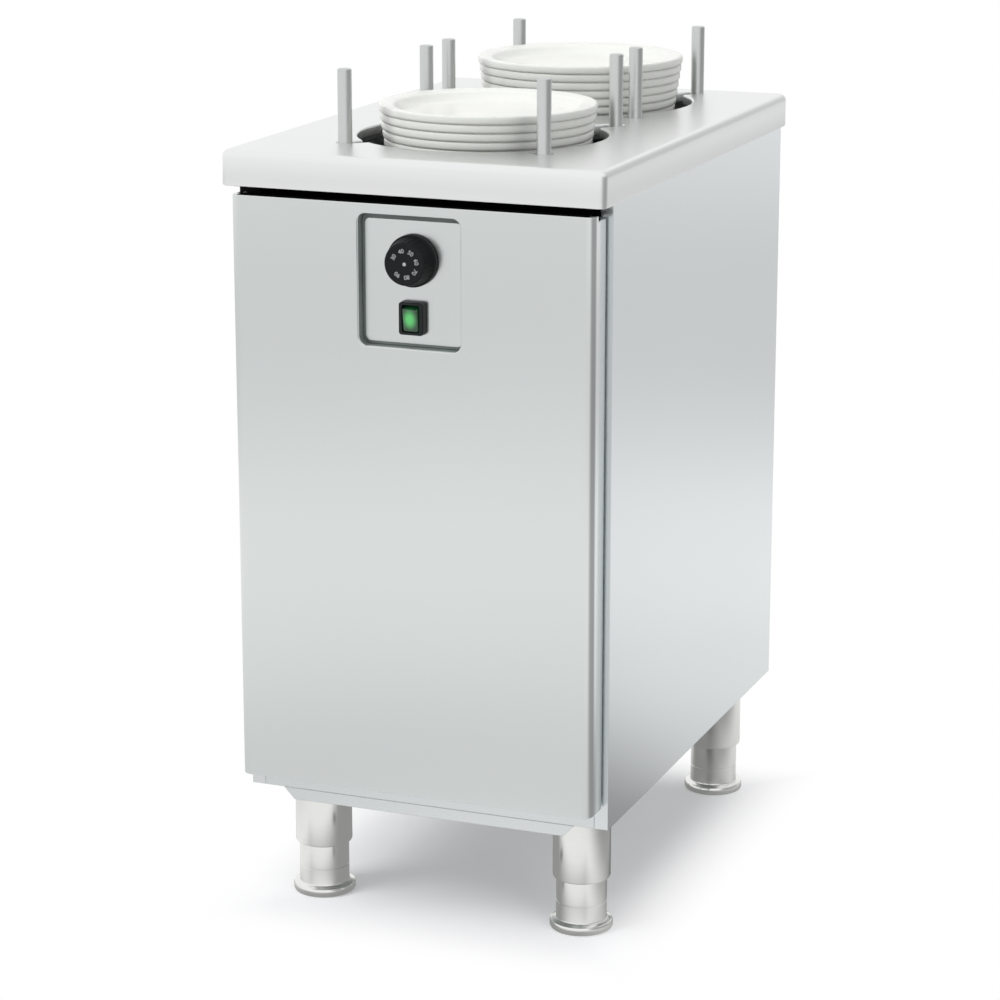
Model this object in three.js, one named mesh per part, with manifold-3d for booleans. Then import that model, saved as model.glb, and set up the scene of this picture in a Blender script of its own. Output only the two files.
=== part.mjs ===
// Heated plate dispenser for two stacks of plates: a stainless cabinet on four adjustable legs,
// with a plate carriage on springs in each of its two wells.
// Millimetres, +Z up. The front, with the door and the controls, faces -Y, and +X is to the right
// of someone who stands in front of it. The origin is on the floor under the middle.

import * as THREE from 'three';
import { mergeVertices } from 'three/addons/utils/BufferGeometryUtils.js';
import Module from 'manifold-3d';

const wasm = await Module();
wasm.setup();

// ---------------------------------------------------------------- driving dimensions

const cabinet = {
  width: 450,            // worktop, side to side
  height: 900,           // floor to the top of the worktop
  sideOverhang: 5,       // worktop beyond each side panel
  rearOverhang: 10,      // worktop beyond the back panel
  floorHeight: 150,      // floor to the underside of the body
};

const sheet = 1.5;       // stainless sheet
const seat = 0.3;        // between pieces that touch
const running = 0.4;     // round a piece that turns or slides
const flange = 16;       // width of a turned-in sheet edge
const narrowFlange = 8;  // the same on the back panel, clear of the plates

const sides = {          // of round pieces
  well: 32,
  tube: 18,
  plate: 18,
  knob: 20,
  rod: 10,
  pin: 8,
};

const top = {
  skirt: 40,             // height of the folded edge
  nose: 3,               // radius of the fold
  lip: 18,               // turned-in edge under the skirt
  collar: 10,            // depth of the rim turned down round each opening
};

const well = {
  radius: 143,           // round opening for the plates
  web: 20,               // worktop left between the two openings
  frontMargin: 77,       // in front of the front opening, over the controls
  rearMargin: 11,        // behind the rear opening
  slotWidth: 20,         // radial slots in which the rods stand
};

const rod = {
  radius: 8,
  outside: 24.5,         // rod's axis beyond the edge of the opening
  above: 82,             // above the worktop
  chamfer: 1.2,
  socketWall: 4,
  socketHeight: 22,
};

const door = {
  thickness: 38,
  edge: 3,               // radius of the folds down its two sides
  gap: 4,                // behind the door
  sideInset: 11.3,       // door inside the worktop's width, each side
  topGap: 15,            // finger gap under the worktop's skirt
  bottomRise: 26,        // door's lower edge above the underside of the body
  hem: 8,                // turned-in edge at the back of the outer skin
};

const cutout = {
  width: 122,
  height: 147,
  topMargin: 5,          // door left above the cut-out
  corner: 10,
  trim: 1.8,             // dark sleeve behind the cut-out's edge
  clear: 3.2,            // sleeve to control box, sides and bottom
  clearTop: 7,           // and top
  recess: 14,            // control face behind the face of the door
};

const apronHeight = 168;

const knob = {
  radius: 29,
  faceRadius: 23.5,
  depth: 25,
  skirt: 5,              // straight part at the back
  stand: 1,              // skirt off the control face
  dropFromTop: 51,       // knob's axis below the top of the cut-out
  shaftRadius: 3,
  bore: 16,
};

const thermostat = {
  width: 46,
  height: 40,
  depth: 24,
};

const rocker = {
  width: 34,             // bezel
  height: 37,
  rim: 2.2,              // bezel proud of the control face
  rebate: 2,             // bezel beyond its hole in the control face
  frameX: 7,             // bezel beside the rocker
  frameZ: 3.5,           // bezel above and below it
  clear: 1.2,            // round the rocker's ends, which swing
  drop: 63.4,            // below the knob's axis
  depth: 22,             // housing behind the control face
  pocket: 9,             // room for the rocker in the housing
  proud: 3.4,            // rocker's ends in front of the bezel
  dish: 3.2,             // hollow of the rocker's face
  tilt: 8,               // degrees, as it stands switched on
};

const leg = {
  sleeveRadius: 33.5,
  sleeveWall: 2,
  sleeveBottom: 62,      // floor to the lower end of the sleeve
  footRadius: 29.4,
  flangeRadius: 36.8,
  flangeHeight: 11,
  footTop: 120,          // floor to the upper end of the foot's tube
  plate: 68,             // square plate on top of the sleeve, bolted to the floor tray
  plateThickness: 3,
  inX: 62,               // leg's axis inside the worktop's edge, sides
  inFront: 115,          // and front
  inRear: 61,            // and rear
};

const rail = {
  height: 13.7,
  frontDepth: 36,
  rearDepth: 14,
  inX: 45,               // upper end inside the worktop's edge
  slant: 13,             // how far each end leans in
};

const plate = {
  radius: 130,
  height: 22,
  pitch: 9.8,            // from one plate to the next in the stack
  edge: 9.2,             // height of the rolled edge
  rim: 18,               // width of the rim
  slope: 16,             // width of the slope from the rim to the flat middle
  foot: 74,              // radius of the foot ring
  wall: 4.6,
  shift: 4,              // stacks stand this far to the right of the wells' axes
};

const stacks = {
  front: { name: 'front', count: 5, topRim: 36.4 }, // top plate's rim above the worktop
  rear: { name: 'rear', count: 7, topRim: 56 },
};

const carriage = {
  discRadius: 105,
  discRim: 8,
  columnRadius: 20,
  columnWall: 2,
  length: 270,           // column
  upperSpider: 34.6,     // upper arms below the disc, whose bushes stop under the guide plate
  armWidth: 18,
  armThickness: 6,
  bushWall: 5,
  bushLength: 28,
};

const spring = {
  radius: 8,
  outside: 12,           // spring's axis beyond the edge of the opening
  eye: 3,
};

const heater = {
  tube: 4.2,             // radius of the heating tube
  run: 118,              // length of a straight run
  spacing: 30,           // between runs
  runs: 4,
  height: 24,            // above the floor tray
  post: 14,              // width of the bracket's feet
  guardHeight: 40,
  guardSlots: 7,
};

const gland = {
  radius: 13,
  proud: 22,             // behind the back panel
  thread: 8,
  inX: 60,
  rise: 50,              // above the underside of the body
};

const hinge = {
  pin: 3,                // radius
  collar: 4.2,           // radius of the pin's collar inside the door
  insetSide: 6,          // pin's axis inside the door's side face
  insetBack: 8,          // and its back face, so that the door clears the cabinet as it swings
  leaf: 2.5,
  width: 26,
  engage: 12,            // pin inside the door
};

// ---------------------------------------------------------------- places worked out from them

const depth = well.frontMargin + 4 * well.radius + well.web + well.rearMargin;
const halfWidth = cabinet.width / 2;
const frontY = -depth / 2;
const rearY = depth / 2;
const skirtZ = cabinet.height - top.skirt;

const body = {
  x: halfWidth - cabinet.sideOverhang,
  front: frontY + door.thickness + door.gap,
  rear: rearY - cabinet.rearOverhang,
  bottom: cabinet.floorHeight,
  top: skirtZ - seat,
};
const insideX = body.x - sheet - seat;         // between the side panels
const panelX = body.x - flange - seat;         // between their turned-in edges
const trayZ = body.bottom + sheet + seat;      // underside of the floor tray
const floorZ = trayZ + sheet;                  // its upper face
const guideZ = body.top - sheet - seat - sheet; // underside of the guide plate

const rearWellY = rearY - well.rearMargin - well.radius;
const frontWellY = rearWellY - 2 * well.radius - well.web;
const rodCircle = well.radius + rod.outside;
const rodOffset = rodCircle * Math.SQRT1_2;
const springReach = well.radius + spring.outside;
const rodTop = cabinet.height + rod.above;

const doorX = halfWidth - door.sideInset;
const doorTop = skirtZ - door.topGap;
const doorBottom = body.bottom + door.bottomRise;
const doorBack = frontY + door.thickness;
const cutTop = doorTop - cutout.topMargin;
const cutZ = cutTop - cutout.height / 2;
const controlY = frontY + cutout.recess;
const knobZ = cutTop - knob.dropFromTop;
const rockerZ = knobZ - rocker.drop;
const hingeX = -doorX + hinge.insetSide;
const hingeY = doorBack - hinge.insetBack;

// ---------------------------------------------------------------- materials

function metal(name, color, roughness, metalness = 1) {
  return new THREE.MeshStandardMaterial({ name, color, roughness, metalness });
}
const brushed = () => metal('brushed_stainless', 0xc9cdcd, 0.34);
const polished = () => metal('polished_stainless', 0xd6d9d9, 0.2);
const sprung = () => metal('spring_steel', 0x9a9da0, 0.35);
const dull = () => metal('zinc_plated', 0xa9adad, 0.5);
const element = () => metal('heating_tube', 0x6f6a66, 0.55);
const porcelain = () => metal('porcelain', 0xf1f1ea, 0.12, 0);
const blackPlastic = () => metal('black_plastic', 0x14171a, 0.35, 0);
const darkRubber = () => metal('dark_edging', 0x4b5250, 0.6, 0);
const greenLens = () => metal('green_lens', 0x2fae4e, 0.2, 0);

// ---------------------------------------------------------------- solids

function solid(geometry) {
  const bare = geometry.index ? geometry.toNonIndexed() : geometry.clone();
  bare.deleteAttribute('normal');
  bare.deleteAttribute('uv');
  const merged = mergeVertices(bare, 1e-4);
  return new wasm.Manifold(new wasm.Mesh({
    numProp: 3,
    vertProperties: new Float32Array(merged.attributes.position.array),
    triVerts: new Uint32Array(merged.index.array),
  }));
}

function geometryOf(manifold) {
  const mesh = manifold.getMesh();
  const geometry = new THREE.BufferGeometry();
  geometry.setAttribute('position', new THREE.BufferAttribute(new Float32Array(mesh.vertProperties), 3));
  geometry.setIndex(new THREE.BufferAttribute(new Uint32Array(mesh.triVerts), 1));
  geometry.computeVertexNormals();
  return geometry;
}

function join(first, ...others) {
  return others.reduce((whole, piece) => whole.add(piece), first);
}

function cut(first, ...others) {
  return others.reduce((whole, piece) => whole.subtract(piece), first);
}

// A block between two corners, each [x, y, z].
function block(low, high) {
  const size = high.map((value, axis) => value - low[axis]);
  const geometry = new THREE.BoxGeometry(...size);
  geometry.translate(...low.map((value, axis) => value + size[axis] / 2));
  return solid(geometry);
}

// An upright round bar or hole.
function post(x, y, z0, z1, radius, sides = 24) {
  const geometry = new THREE.CylinderGeometry(radius, radius, z1 - z0, sides);
  geometry.rotateX(Math.PI / 2);
  geometry.translate(x, y, (z0 + z1) / 2);
  return solid(geometry);
}

// A round bar or hole along Y.
function boreY(x, z, y0, y1, radius, sides = 24) {
  const geometry = new THREE.CylinderGeometry(radius, radius, y1 - y0, sides);
  geometry.translate(x, (y0 + y1) / 2, z);
  return solid(geometry);
}

// A closed profile of [radius, z] points turned round an upright axis.
function turned(profile, sides = 28) {
  const points = profile.map(([radius, z]) => new THREE.Vector2(radius, z));
  const geometry = new THREE.LatheGeometry(points, sides);
  geometry.rotateX(Math.PI / 2);
  return solid(geometry);
}

function roundedOutline(width, height, radius) {
  const x = width / 2;
  const y = height / 2;
  const shape = new THREE.Shape();
  shape.moveTo(-x + radius, -y);
  shape.lineTo(x - radius, -y);
  shape.absarc(x - radius, -y + radius, radius, -Math.PI / 2, 0);
  shape.lineTo(x, y - radius);
  shape.absarc(x - radius, y - radius, radius, 0, Math.PI / 2);
  shape.lineTo(-x + radius, y);
  shape.absarc(-x + radius, y - radius, radius, Math.PI / 2, Math.PI);
  shape.lineTo(-x, -y + radius);
  shape.absarc(-x + radius, -y + radius, radius, Math.PI, Math.PI * 1.5);
  return shape;
}

// A rounded rectangle in the XZ plane, from y0 back to y1.
function roundedPanel(x, z, width, height, radius, y0, y1) {
  const geometry = new THREE.ExtrudeGeometry(roundedOutline(width, height, radius), {
    depth: y1 - y0,
    bevelEnabled: false,
    curveSegments: 3,
  });
  geometry.rotateX(Math.PI / 2);
  geometry.translate(x, y1, z);
  return solid(geometry);
}

// A slab with rounded edges that lies on z = 0.
function softSlab(width, depth, height, nose) {
  const geometry = new THREE.ExtrudeGeometry(
    roundedOutline(width - 2 * nose, depth - 2 * nose, nose / 2),
    {
      depth: height - 2 * nose,
      bevelEnabled: true,
      bevelSize: nose,
      bevelThickness: nose,
      bevelSegments: 3,
      curveSegments: 1,
    },
  );
  geometry.translate(0, 0, nose);
  return geometry;
}

function mesh(name, shape, material) {
  const piece = new THREE.Mesh(geometryOf(shape), material);
  piece.name = name;
  return piece;
}

// ---------------------------------------------------------------- worktop

// Round opening and the four radial slots that run out from it to the rods.
function wellCut(y, z0, z1) {
  let shape = post(0, y, z0, z1, well.radius, sides.well);
  for (const turn of [45, 135, 225, 315]) {
    const slot = new THREE.BoxGeometry(rodCircle, well.slotWidth, z1 - z0);
    slot.translate(rodCircle / 2, 0, 0);
    slot.rotateZ(THREE.MathUtils.degToRad(turn));
    slot.translate(0, y, (z0 + z1) / 2);
    const angle = THREE.MathUtils.degToRad(turn);
    const x = rodCircle * Math.cos(angle);
    const end = post(x, y + rodCircle * Math.sin(angle), z0, z1, well.slotWidth / 2, sides.rod);
    shape = join(shape, solid(slot), end);
  }
  return shape;
}

function worktop() {
  const slab = softSlab(cabinet.width, depth, top.skirt, top.nose);
  slab.translate(0, 0, skirtZ);
  const under = cabinet.height - sheet;
  const hollow = block(
    [-halfWidth + sheet, frontY + sheet, skirtZ + sheet],
    [halfWidth - sheet, rearY - sheet, under],
  );
  const frontLip = body.front + flange;
  const mouth = block(
    [-halfWidth + top.lip, frontLip, skirtZ - 1],
    [halfWidth - top.lip, rearY - top.lip, skirtZ + 2 * sheet],
  );
  let shape = cut(solid(slab), hollow, mouth);
  for (const y of [frontWellY, rearWellY]) {
    const rim = post(0, y, under - top.collar, under + sheet / 2, well.radius + sheet, sides.well);
    shape = join(shape, rim);
  }
  for (const y of [frontWellY, rearWellY]) {
    shape = cut(shape, wellCut(y, under - 2 * top.collar, cabinet.height + 1));
  }
  return mesh('worktop', shape, brushed());
}

// ---------------------------------------------------------------- cabinet body

// A panel with its four edges turned in by `width`, open on the side that `open` points to.
function tray(low, high, width, open) {
  const inLow = low.map((value, axis) => value + (axis === open.axis ? 0 : sheet));
  const inHigh = high.map((value, axis) => value - (axis === open.axis ? 0 : sheet));
  if (open.sign > 0) inLow[open.axis] += sheet;
  else inHigh[open.axis] -= sheet;
  if (open.sign > 0) inHigh[open.axis] += width;
  else inLow[open.axis] -= width;
  return cut(block(low, high), block(inLow, inHigh));
}

function sidePanel(side) {
  const name = side < 0 ? 'side_panel_left' : 'side_panel_right';
  const faces = [side * body.x, side * (body.x - flange)].sort((a, b) => a - b);
  const shape = tray(
    [faces[0], body.front, body.bottom],
    [faces[1], body.rear, body.top],
    flange,
    { axis: 0, sign: -side },
  );
  return mesh(name, shape, brushed());
}

// A flat sheet along X whose upper and lower edges are turned in by `width`, toward `inward`.
function flangedSheet(outerY, inward, width, z0, z1) {
  const between = (reach) => [outerY, outerY + inward * reach].sort((a, b) => a - b);
  const [wallLow, wallHigh] = between(sheet);
  const [low, high] = between(width);
  return join(
    block([-panelX, wallLow, z0], [panelX, wallHigh, z1]),
    block([-panelX, low, z0], [panelX, high, z0 + sheet]),
    block([-panelX, low, z1 - sheet], [panelX, high, z1]),
  );
}

function backPanel() {
  const shape = flangedSheet(body.rear, -1, narrowFlange, body.bottom, body.top);
  const entry = boreY(glandX, glandZ, body.rear - 2 * sheet, body.rear + 1, gland.thread + seat, sides.pin);
  return mesh('back_panel', cut(shape, entry), brushed());
}

const glandX = -halfWidth + gland.inX + cabinet.sideOverhang;
const glandZ = body.bottom + gland.rise;

function cableGland() {
  const inner = body.rear - sheet - seat;
  const outer = body.rear + seat;
  const tail = boreY(glandX, glandZ, inner - 6, outer + 2, gland.thread, sides.pin);
  const nut = boreY(glandX, glandZ, inner - 5, inner, gland.radius, 6);
  const hex = boreY(glandX, glandZ, outer, outer + gland.proud / 3, gland.radius, 6);
  const dome = new THREE.CylinderGeometry(gland.thread, gland.radius * 0.84, gland.proud * 0.7, sides.pin);
  dome.translate(glandX, body.rear + gland.proud * 0.65, glandZ);
  return mesh('cable_gland', join(tail, nut, hex, solid(dome)), blackPlastic());
}

function floorTray() {
  const back = body.rear - sheet - seat;
  const plateShape = block([-insideX, body.front + sheet + seat, trayZ], [insideX, back, floorZ]);
  const sillTop = doorBottom + flange;
  const sill = block([-panelX, body.front, body.bottom], [panelX, body.front + sheet, sillTop]);
  const link = block([-panelX, body.front, trayZ], [panelX, body.front + 2 * sheet, floorZ]);
  let shape = join(plateShape, sill, link);
  for (const [x, y] of rodPlaces()) {
    const socket = post(x, y, floorZ - sheet / 2, floorZ + rod.socketHeight,
      rod.radius + rod.socketWall, sides.rod);
    shape = join(shape, socket);
  }
  for (const [x, y] of rodPlaces()) {
    const bore = post(x, y, floorZ + seat, floorZ + rod.socketHeight + 1, rod.radius + running, sides.rod);
    shape = cut(shape, bore);
  }
  return mesh('floor_tray', shape, brushed());
}

function frontApron() {
  const high = guideZ - seat;
  const wiring = roundedPanel(
    0, boxZ, boxWidth - 2 * flange, boxHeight - 2 * flange, cutout.corner,
    body.front - 1, body.front + 2 * sheet,
  );
  const shape = flangedSheet(body.front, 1, flange, high - apronHeight, high);
  return mesh('front_apron', cut(shape, wiring), brushed());
}

function guidePlate() {
  const back = body.rear - sheet - seat;
  let shape = block([-insideX, body.front + sheet + seat, guideZ], [insideX, back, guideZ + sheet]);
  for (const y of [frontWellY, rearWellY]) {
    shape = cut(shape, post(0, y, guideZ - 1, guideZ + 2 * sheet, well.radius, sides.well));
    for (const side of [-1, 1]) {
      shape = cut(shape, post(side * springReach, y, guideZ - 1, guideZ + 2 * sheet, spring.eye, 6));
    }
  }
  for (const [x, y] of rodPlaces()) {
    shape = cut(shape, post(x, y, guideZ - 1, guideZ + 2 * sheet, rod.radius + running, sides.rod));
  }
  return mesh('guide_plate', shape, brushed());
}

function baseRail(name, y0, depth) {
  const z0 = body.bottom - seat - rail.height;
  const z1 = body.bottom - seat;
  const x = halfWidth - rail.inX;
  const outline = new THREE.Shape();
  outline.moveTo(-x + rail.slant, z0);
  outline.lineTo(x - rail.slant, z0);
  outline.lineTo(x, z1);
  outline.lineTo(-x, z1);
  outline.closePath();
  const bar = new THREE.ExtrudeGeometry(outline, { depth, bevelEnabled: false });
  bar.rotateX(Math.PI / 2);
  bar.translate(0, y0 + depth, 0);
  const inner = x - rail.slant - sheet;
  const channel = block([-inner, y0 + sheet, z0 + sheet], [inner, y0 + depth - sheet, z1 + 1]);
  return mesh(name, cut(solid(bar), channel), brushed());
}

// ---------------------------------------------------------------- guide rods

function rodPlaces(wells = [frontWellY, rearWellY]) {
  const places = [];
  for (const y of wells) {
    for (const sideY of [-1, 1]) {
      for (const sideX of [-1, 1]) {
        places.push([sideX * rodOffset, y + sideY * rodOffset]);
      }
    }
  }
  return places;
}

function guideRod(name, x, y) {
  const low = floorZ + 2 * seat;
  const profile = [
    [0, low],
    [rod.radius, low],
    [rod.radius, rodTop - rod.chamfer],
    [rod.radius - rod.chamfer, rodTop],
    [0, rodTop],
  ];
  const piece = mesh(name, turned(profile, sides.rod), polished());
  piece.position.set(x, y, 0);
  return piece;
}

function guideRods() {
  const group = new THREE.Group();
  for (const [label, y] of [['front', frontWellY], ['rear', rearWellY]]) {
    rodPlaces([y]).forEach(([x, rodY], index) => {
      group.add(guideRod(`guide_rod_${label}_${index + 1}`, x, rodY));
    });
  }
  return group;
}

// ---------------------------------------------------------------- legs

const legPlaces = [
  ['front_left', -halfWidth + leg.inX, frontY + leg.inFront],
  ['front_right', halfWidth - leg.inX, frontY + leg.inFront],
  ['rear_left', -halfWidth + leg.inX, rearY - leg.inRear],
  ['rear_right', halfWidth - leg.inX, rearY - leg.inRear],
];

function legSleeve(name, x, y) {
  const topZ = trayZ - seat;
  const inner = leg.sleeveRadius - leg.sleeveWall;
  const lip = leg.footRadius + running;
  const tube = turned([
    [lip, leg.sleeveBottom],
    [leg.sleeveRadius - 1, leg.sleeveBottom],
    [leg.sleeveRadius, leg.sleeveBottom + 2],
    [leg.sleeveRadius, topZ],
    [inner, topZ],
    [inner, leg.sleeveBottom + 6],
    [lip, leg.sleeveBottom + 4],
    [lip, leg.sleeveBottom],
  ], sides.tube);
  const half = leg.plate / 2;
  const head = block([-half, -half, topZ - leg.plateThickness], [half, half, topZ]);
  const piece = mesh(name, join(tube, head), polished());
  piece.position.set(x, y, 0);
  return piece;
}

function legFoot(name, x, y) {
  const inner = leg.footRadius - leg.sleeveWall;
  const piece = mesh(name, turned([
    [0, 0],
    [leg.flangeRadius - 2.5, 0],
    [leg.flangeRadius, 2.5],
    [leg.flangeRadius, leg.flangeHeight - 3],
    [leg.flangeRadius - 2.5, leg.flangeHeight],
    [leg.footRadius, leg.flangeHeight + 2],
    [leg.footRadius, leg.footTop],
    [inner, leg.footTop],
    [inner, leg.flangeHeight],
    [0, leg.flangeHeight],
  ], sides.tube), polished());
  piece.position.set(x, y, 0);
  return piece;
}

function legs() {
  const group = new THREE.Group();
  for (const [place, x, y] of legPlaces) {
    group.add(legSleeve(`leg_sleeve_${place}`, x, y));
    group.add(legFoot(`leg_foot_${place}`, x, y));
  }
  return group;
}

// ---------------------------------------------------------------- door

// Plan outline of the door's skin, whose two front edges are rounded.
function doorOutline() {
  const shape = new THREE.Shape();
  const r = door.edge;
  shape.moveTo(-doorX, doorBack);
  shape.lineTo(-doorX, frontY + r);
  shape.absarc(-doorX + r, frontY + r, r, Math.PI, Math.PI * 1.5);
  shape.lineTo(doorX - r, frontY);
  shape.absarc(doorX - r, frontY + r, r, -Math.PI / 2, 0);
  shape.lineTo(doorX, doorBack);
  shape.closePath();
  return shape;
}

function doorShell() {
  const slab = new THREE.ExtrudeGeometry(doorOutline(), {
    depth: doorTop - doorBottom,
    bevelEnabled: false,
    curveSegments: 5,
  });
  slab.translate(0, 0, doorBottom);
  const hollow = block(
    [-doorX + sheet, frontY + sheet, doorBottom + sheet],
    [doorX - sheet, rearY, doorTop - sheet],
  );
  const skin = cut(solid(slab), hollow);
  const back = block(
    [-doorX + sheet / 2, doorBack - sheet, doorBottom + sheet / 2],
    [doorX - sheet / 2, doorBack, doorTop - sheet / 2],
  );
  const backOpening = block(
    [-doorX + sheet + door.hem, doorBack - 2 * sheet, doorBottom + sheet + door.hem],
    [doorX - sheet - door.hem, doorBack + 1, doorTop - sheet - door.hem],
  );
  const window = roundedPanel(0, cutZ, cutout.width, cutout.height, cutout.corner,
    frontY - 1, doorBack + 1);
  const pins = [
    post(hingeX, hingeY, doorTop - 2 * sheet, doorTop + 1, hinge.pin + seat, sides.pin),
    post(hingeX, hingeY, doorBottom - 1, doorBottom + 2 * sheet, hinge.pin + seat, sides.pin),
  ];
  return mesh('door_shell', cut(join(skin, cut(back, backOpening)), window, ...pins), brushed());
}

function doorLiner() {
  const x = doorX - sheet - seat;
  const face = doorBack - sheet - seat;
  const skin = tray(
    [-x, face - flange / 2, doorBottom + sheet + seat],
    [x, face, doorTop - sheet - seat],
    flange,
    { axis: 1, sign: -1 },
  );
  const grow = 2 * (cutout.trim + seat);
  const window = roundedPanel(0, cutZ, cutout.width + grow, cutout.height + grow,
    cutout.corner + grow / 2, face - flange, face + 1);
  const notchX = hingeX + 3 * hinge.pin;
  const notchZ = hinge.engage + 2 * hinge.pin;
  const notches = [
    block([-x - 1, face - flange, doorBottom], [notchX, face + 1, doorBottom + notchZ]),
    block([-x - 1, face - flange, doorTop - notchZ], [notchX, face + 1, doorTop]),
  ];
  return mesh('door_liner', cut(skin, window, ...notches), brushed());
}

// Dark sleeve behind the cut-out's edge, which closes the door's thickness there.
function cutoutTrim() {
  const front = frontY + sheet + seat;
  const back = doorBack - sheet - seat;
  const outer = roundedPanel(0, cutZ, cutout.width + 2 * cutout.trim, cutout.height + 2 * cutout.trim,
    cutout.corner + cutout.trim, front, back);
  const inner = roundedPanel(0, cutZ, cutout.width, cutout.height, cutout.corner, front - 1, back + 1);
  return mesh('cutout_trim', cut(outer, inner), darkRubber());
}

function hingeParts() {
  const group = new THREE.Group();
  const levels = [
    ['top', doorTop, 1],
    ['bottom', doorBottom, -1],
  ];
  for (const [label, edge, up] of levels) {
    const near = edge + up * seat;
    const far = near + up * hinge.leaf;
    const low = Math.min(near, far);
    const high = Math.max(near, far);
    const left = Math.max(hingeX - hinge.width / 2, -body.x + seat);
    const leaf = block([left, hingeY - hinge.insetBack, low],
      [hingeX + hinge.width / 2, body.front - seat, high]);
    const ends = [edge + up * (seat + hinge.leaf), edge + up * (seat + hinge.leaf + 8)];
    const root = block([left, body.front - seat - hinge.leaf, Math.min(...ends, low)],
      [hingeX + hinge.width / 2, body.front - seat, Math.max(...ends, high)]);
    const eye = post(hingeX, hingeY, low - 1, high + 1, hinge.pin + running, sides.pin);
    group.add(mesh(`hinge_bracket_${label}`, cut(join(leaf, root), eye), dull()));
    const inside = edge - up * hinge.engage;
    const outside = far + up * 1.5;
    const pinEnds = [inside, outside];
    const pin = post(hingeX, hingeY, Math.min(...pinEnds), Math.max(...pinEnds), hinge.pin, sides.pin);
    const collarEnds = [edge - up * (sheet + seat), edge - up * (sheet + seat + 3)];
    const collar = post(hingeX, hingeY, Math.min(...collarEnds), Math.max(...collarEnds),
      hinge.collar, sides.pin);
    group.add(mesh(`hinge_pin_${label}`, join(pin, collar), dull()));
  }
  return group;
}

// ---------------------------------------------------------------- controls

const boxWidth = cutout.width - 2 * cutout.clear;
const boxHeight = cutout.height - cutout.clear - cutout.clearTop;
const boxZ = cutZ - (cutout.clearTop - cutout.clear) / 2;

// Folded box on the apron, whose face stands in the door's cut-out.
function controlBox() {
  const corner = cutout.corner - cutout.clear;
  const back = body.front - seat;
  const shell = roundedPanel(0, boxZ, boxWidth, boxHeight, corner, controlY, back);
  const hollow = roundedPanel(0, boxZ, boxWidth - 2 * sheet, boxHeight - 2 * sheet,
    corner - sheet, controlY + sheet, back + 1);
  const shaftHole = boreY(0, knobZ, controlY - 1, controlY + 2 * sheet,
    knob.shaftRadius + running + sheet, sides.rod);
  const x = rocker.width / 2 - rocker.rebate;
  const z = rocker.height / 2 - rocker.rebate;
  const switchHole = block(
    [-x, controlY - 1, rockerZ - z],
    [x, controlY + 2 * sheet, rockerZ + z],
  );
  return mesh('control_box', cut(shell, hollow, shaftHole, switchHole), brushed());
}

function thermostatBody() {
  const face = controlY + sheet + seat;
  const box = roundedPanel(0, knobZ, thermostat.width, thermostat.height, 3,
    face, face + thermostat.depth);
  const neck = boreY(0, knobZ, controlY, face + 1, knob.shaftRadius + sheet - seat, sides.rod);
  const shaftEnd = controlY - knob.stand - knob.bore + seat;
  const shaft = boreY(0, knobZ, shaftEnd, face + 1, knob.shaftRadius, sides.rod);
  return mesh('thermostat_body', join(box, neck, shaft), blackPlastic());
}

function thermostatKnob() {
  const boreRadius = knob.shaftRadius + running;
  const profile = [
    [boreRadius, 0],
    [knob.radius - 1, 0],
    [knob.radius, 1],
    [knob.radius, knob.skirt],
    [knob.radius - 2, knob.skirt + 1.5],
    [knob.faceRadius, knob.depth - 1.2],
    [knob.faceRadius - 1.2, knob.depth],
    [0, knob.depth],
    [0, knob.bore],
    [boreRadius, knob.bore],
    [boreRadius, 0],
  ];
  const piece = mesh('thermostat_knob', turned(profile, sides.knob), blackPlastic());
  piece.rotation.x = Math.PI / 2;
  piece.position.set(0, controlY - knob.stand, knobZ);
  return piece;
}

function switchHousing() {
  const x = rocker.width / 2;
  const z = rocker.height / 2;
  const face = controlY - seat;
  const bezel = roundedPanel(0, rockerZ, rocker.width, rocker.height, 3, face - rocker.rim, face);
  const inX = x - rocker.rebate - seat;
  const inZ = z - rocker.rebate - seat;
  const housing = block(
    [-inX, face - rocker.rim / 2, rockerZ - inZ],
    [inX, controlY + rocker.depth, rockerZ + inZ],
  );
  const pocket = block(
    [-x + rocker.frameX, face - rocker.rim - 1, rockerZ - z + rocker.frameZ],
    [x - rocker.frameX, face - rocker.rim + rocker.pocket, rockerZ + z - rocker.frameZ],
  );
  return mesh('switch_housing', cut(join(bezel, housing), pocket), blackPlastic());
}

// The rocker is a paddle with a hollow face that tips about its middle.
function switchRocker() {
  const half = rocker.height / 2 - rocker.frameZ - rocker.clear;
  const width = rocker.width - 2 * rocker.frameX - 2 * running;
  const face = rocker.pocket / 2 + rocker.proud;
  const outline = new THREE.Shape();
  outline.moveTo(-half, -1.2);
  outline.lineTo(-half / 2, -2.2);
  outline.lineTo(half / 2, -2.2);
  outline.lineTo(half, -1.2);
  outline.lineTo(half, face);
  outline.quadraticCurveTo(0, face - 2 * rocker.dish, -half, face);
  outline.closePath();
  const paddle = new THREE.ExtrudeGeometry(outline, {
    depth: width,
    bevelEnabled: false,
    curveSegments: 6,
  });
  paddle.translate(0, 0, -width / 2);
  paddle.rotateY(Math.PI / 2);
  paddle.rotateZ(Math.PI);
  const piece = mesh('switch_rocker', solid(paddle), greenLens());
  piece.rotation.x = THREE.MathUtils.degToRad(rocker.tilt);
  piece.position.set(0, controlY - seat - rocker.rim + rocker.pocket / 2, rockerZ);
  return piece;
}

// ---------------------------------------------------------------- carriages, springs and plates

function discHeight(stack) {
  return cabinet.height + stack.topRim - plate.height - (stack.count - 1) * plate.pitch - seat;
}

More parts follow.
